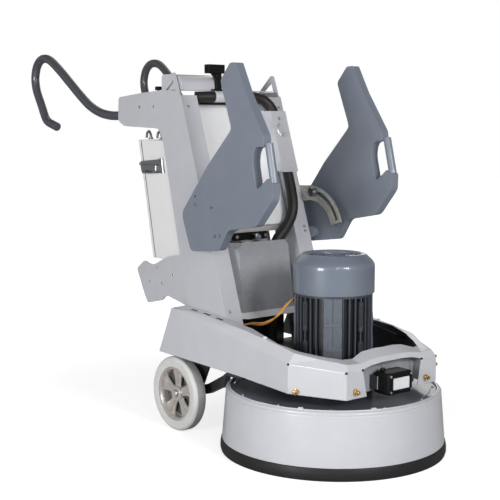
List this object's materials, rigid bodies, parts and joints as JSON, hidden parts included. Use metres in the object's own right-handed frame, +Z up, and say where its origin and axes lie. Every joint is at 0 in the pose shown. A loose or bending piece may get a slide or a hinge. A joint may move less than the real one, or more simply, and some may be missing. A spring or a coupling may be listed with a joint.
{
  "type": "concrete grinder",
  "caption": "Walk-behind planetary concrete floor grinder with round skirted head, electric motor, wheeled frame, swinging weights, water tank and looped handle.",
  "frame": {"origin": "centre of the whole machine's box, on the floor", "axes": "+Z up, -Y towards the grinding head, +Y towards the operator, +X the operator's left-hand side seen from the rear"},
  "size_m": [0.7008, 1.7557, 1.2607],
  "materials": {
    "light_grey_paint": "satin powder coat",
    "column_grey_paint": "satin powder coat",
    "weight_grey_paint": "satin powder coat",
    "dark_casting": "satin paint over a casting",
    "dark_paint": "satin powder coat",
    "black_plastic": "matt",
    "black_rubber": "matt",
    "cable_sheath": "matt",
    "grey_tyre": "matt, non-marking grey",
    "aluminium": "cast, lightly brushed",
    "steel": "zinc plated",
    "tool_iron": "ground, matt",
    "brass": "machined",
    "white_plastic": "satin, translucent white",
    "white_paint": "semi-gloss",
    "lens_glass": "clear",
    "red_plastic": "gloss",
    "green_plastic": "gloss"
  },
  "bodies": {
    "machine": {"cabinet_body": "white_paint", "cable_hook": "black_plastic", "chassis_frame": "dark_paint", "chassis_hood": "light_grey_paint", "column_cover": "light_grey_paint", "column_left": "column_grey_paint", "column_right": "column_grey_paint", "control_panel": "black_plastic", "cross_box": "light_grey_paint", "deck_plate": "dark_paint", "dust_hose": "black_rubber", "fan_cowl": "weight_grey_paint", "head_housing": "dark_casting", "hose_guard": "column_grey_paint", "inverter": "dark_paint", "motor_cable": "cable_sheath", "motor_casing": "dark_casting", "rear_bracket_left": "column_grey_paint", "rear_bracket_right": "column_grey_paint", "rubber_skirt": "black_rubber", "sector_left": "steel", "sector_right": "steel", "shroud_ring": "light_grey_paint", "spray_nozzle_left": "brass", "spray_nozzle_right": "brass", "tank_shelf": "aluminium", "terminal_box": "dark_casting", "water_pump": "black_plastic", "water_tank": "white_plastic", "wheel_axle": "steel"},
    "drum": {"planetary_drum": "steel", "drive_belt": "black_rubber"},
    "rotor": {"motor_rotor": "steel", "cooling_fan": "black_plastic"},
    "satellite_1": {"satellite_1": "steel", "tool_plate_1": "tool_iron"},
    "satellite_2": {"satellite_2": "steel", "tool_plate_2": "tool_iron"},
    "satellite_3": {"satellite_3": "steel", "tool_plate_3": "tool_iron"},
    "wheel_left": {"tyre_left": "grey_tyre", "rim_left": "aluminium"},
    "wheel_right": {"tyre_right": "grey_tyre", "rim_right": "aluminium"},
    "weight_left": {"weight_left": "weight_grey_paint"},
    "weight_right": {"weight_right": "weight_grey_paint"},
    "pin_left": {"weight_pin_left": "steel"},
    "pin_right": {"weight_pin_right": "steel"},
    "handle": {"handle_bar": "dark_paint"},
    "lock_left": {"handle_lock_left": "black_plastic"},
    "lock_right": {"handle_lock_right": "black_plastic"},
    "door": {"cabinet_door": "white_paint"},
    "latch": {"door_latch": "steel"},
    "lamp": {"lamp_housing": "black_plastic", "lamp_lens": "lens_glass"},
    "cap": {"tank_cap": "black_plastic"},
    "emergency": {"emergency_button": "red_plastic"},
    "start": {"start_button": "green_plastic"},
    "stop": {"stop_button": "red_plastic"},
    "knob": {"speed_knob": "black_plastic"}
  },
  "joints": [
    {"name": "drum_spin", "type": "hinge", "parent": "machine", "child": "drum", "pos_m": [0, -0.52755, 0.14], "axis": [0, 0, 1], "continuous": true},
    {"name": "rotor_spin", "type": "hinge", "parent": "machine", "child": "rotor", "pos_m": [0, -0.52755, 0.37], "axis": [0, 0, 1], "continuous": true},
    {"name": "satellite_1_spin", "type": "hinge", "parent": "drum", "child": "satellite_1", "pos_m": [0, -0.35755, 0.08], "axis": [0, 0, 1], "continuous": true},
    {"name": "satellite_2_spin", "type": "hinge", "parent": "drum", "child": "satellite_2", "pos_m": [-0.14722, -0.61255, 0.08], "axis": [0, 0, 1], "continuous": true},
    {"name": "satellite_3_spin", "type": "hinge", "parent": "drum", "child": "satellite_3", "pos_m": [0.14722, -0.61255, 0.08], "axis": [0, 0, 1], "continuous": true},
    {"name": "wheel_left_roll", "type": "hinge", "parent": "machine", "child": "wheel_left", "pos_m": [-0.252, -0.06255, 0.1227], "axis": [1, 0, 0], "continuous": true},
    {"name": "wheel_right_roll", "type": "hinge", "parent": "machine", "child": "wheel_right", "pos_m": [0.252, -0.06255, 0.1227], "axis": [1, 0, 0], "continuous": true},
    {"name": "weight_left_swing", "type": "hinge", "parent": "machine", "child": "weight_left", "pos_m": [0, -0.18255, 0.635], "axis": [1, 0, 0], "range_deg": [0, 54]},
    {"name": "pin_left_turn", "type": "hinge", "parent": "weight_left", "child": "pin_left", "pos_m": [-0.2376, -0.21166, 0.77194], "axis": [1, 0, 0], "range_deg": [0, 180]},
    {"name": "weight_right_swing", "type": "hinge", "parent": "machine", "child": "weight_right", "pos_m": [0, -0.18255, 0.635], "axis": [1, 0, 0], "range_deg": [0, 56]},
    {"name": "pin_right_turn", "type": "hinge", "parent": "weight_right", "child": "pin_right", "pos_m": [0.2376, -0.20686, 0.77287], "axis": [-1, 0, 0], "range_deg": [0, 180]},
    {"name": "handle_tilt", "type": "hinge", "parent": "machine", "child": "handle", "pos_m": [0, 0.29745, 1.035], "axis": [1, 0, 0], "range_deg": [-20, 30]},
    {"name": "lock_left_turn", "type": "hinge", "parent": "machine", "child": "lock_left", "pos_m": [-0.196, 0.12045, 1.115], "axis": [0, 0, 1], "range_deg": [0, 180]},
    {"name": "lock_right_turn", "type": "hinge", "parent": "machine", "child": "lock_right", "pos_m": [0.196, 0.12045, 1.115], "axis": [0, 0, 1], "range_deg": [0, 180]},
    {"name": "door_swing", "type": "hinge", "parent": "machine", "child": "door", "pos_m": [0.19, 0.17189, 0.545], "axis": [0, -0.1999, -0.9798], "range_deg": [0, 110]},
    {"name": "latch_swing", "type": "hinge", "parent": "machine", "child": "latch", "pos_m": [-0.1943, 0.09845, 0.838], "axis": [0, 0.1644, 0.9864], "range_deg": [0, 95]},
    {"name": "lamp_tilt", "type": "hinge", "parent": "machine", "child": "lamp", "pos_m": [0, -0.75355, 0.256], "axis": [1, 0, 0], "range_deg": [-8, 8]},
    {"name": "cap_turn", "type": "hinge", "parent": "machine", "child": "cap", "pos_m": [0.045, -0.06152, 0.98889], "axis": [0, -0.9488, 0.3159], "range_deg": [0, 300]},
    {"name": "emergency_push", "type": "slide", "parent": "machine", "child": "emergency", "axis": [0, -0.5463, -0.8376], "range_m": [0, 0.004]},
    {"name": "start_push", "type": "slide", "parent": "machine", "child": "start", "axis": [0, -0.5463, -0.8376], "range_m": [0, 0.004], "stiffness_N_per_m": 400},
    {"name": "stop_push", "type": "slide", "parent": "machine", "child": "stop", "axis": [0, -0.5463, -0.8376], "range_m": [0, 0.004], "stiffness_N_per_m": 400},
    {"name": "speed_turn", "type": "hinge", "parent": "machine", "child": "knob", "pos_m": [0.03, 0.22245, 1.07], "axis": [0, 0.5463, 0.8376], "range_deg": [-140, 140]}
  ],
  "couplings": [
    {"joint": "rotor_spin", "follows": "drum_spin", "ratio": 6},
    {"joint": "satellite_1_spin", "follows": "drum_spin", "ratio": -3.8494},
    {"joint": "satellite_2_spin", "follows": "drum_spin", "ratio": -3.8494},
    {"joint": "satellite_3_spin", "follows": "drum_spin", "ratio": -3.8494}
  ]
}
